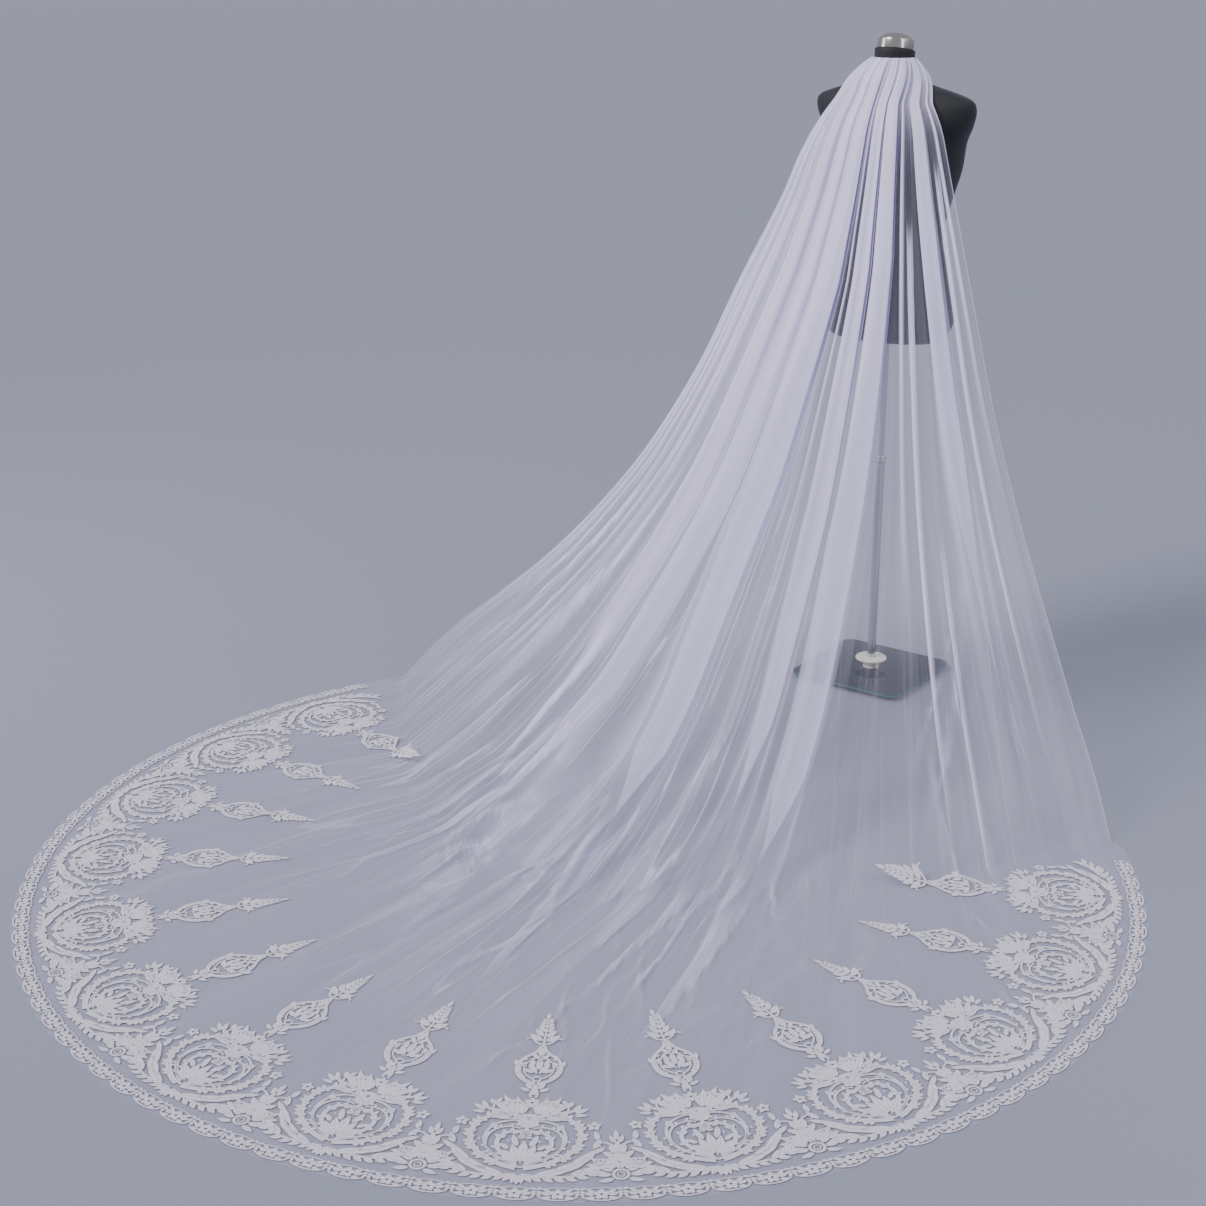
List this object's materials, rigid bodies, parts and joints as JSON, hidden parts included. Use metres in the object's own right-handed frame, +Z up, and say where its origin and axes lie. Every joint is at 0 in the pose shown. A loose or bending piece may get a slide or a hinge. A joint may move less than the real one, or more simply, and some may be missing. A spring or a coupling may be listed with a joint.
{
  "type": "bridal veil on a dress form",
  "caption": "White tulle bridal veil with a lace border and scalloped hem, hung from the neck of a black dress form with a chrome neck cap, telescopic pole and dark glass foot.",
  "frame": {"origin": "on the floor under the middle of the stand's pole, at the centre of the washer's underside", "axes": "+Z up; +Y is the way the dress form faces; -Y is the way the veil's train runs; +X is the form's right-hand side seen from behind"},
  "size_m": [2.2149, 2.516, 1.5508],
  "materials": {
    "white_tulle": "soft sheer net, white with a lilac cast",
    "lace_thread": "embroidered lace, warm white thread",
    "edging_thread": "narrow lace edging, warm white thread",
    "heading_satin": "narrow satin heading band",
    "black_form_cover": "close black jersey cover, slightly matt",
    "neck_cap_metal": "polished metal lid",
    "pole_chrome": "polished chrome tube",
    "cream_plastic": "moulded cream plastic, satin",
    "dark_glass": "dark green toughened glass, polished",
    "pad_rubber": "black rubber, matt"
  },
  "bodies": {
    "root": {"base_plate": "dark_glass", "collar": "cream_plastic", "collar_screw": "cream_plastic", "form_torso": "black_form_cover", "heading_band": "heading_satin", "lace_motif_01": "lace_thread", "lace_motif_02": "lace_thread", "lace_motif_03": "lace_thread", "lace_motif_04": "lace_thread", "lace_motif_05": "lace_thread", "lace_motif_06": "lace_thread", "lace_motif_07": "lace_thread", "lace_motif_08": "lace_thread", "lace_motif_09": "lace_thread", "lace_motif_10": "lace_thread", "lace_motif_11": "lace_thread", "lace_motif_12": "lace_thread", "lace_motif_13": "lace_thread", "lace_motif_14": "lace_thread", "neck_cap": "neck_cap_metal", "pad_left_back": "pad_rubber", "pad_left_front": "pad_rubber", "pad_right_back": "pad_rubber", "pad_right_front": "pad_rubber", "pole_lower": "pole_chrome", "pole_upper": "pole_chrome", "pole_washer": "pad_rubber", "scallop_edging": "edging_thread", "tulle_panel": "white_tulle"}
  },
  "joints": []
}
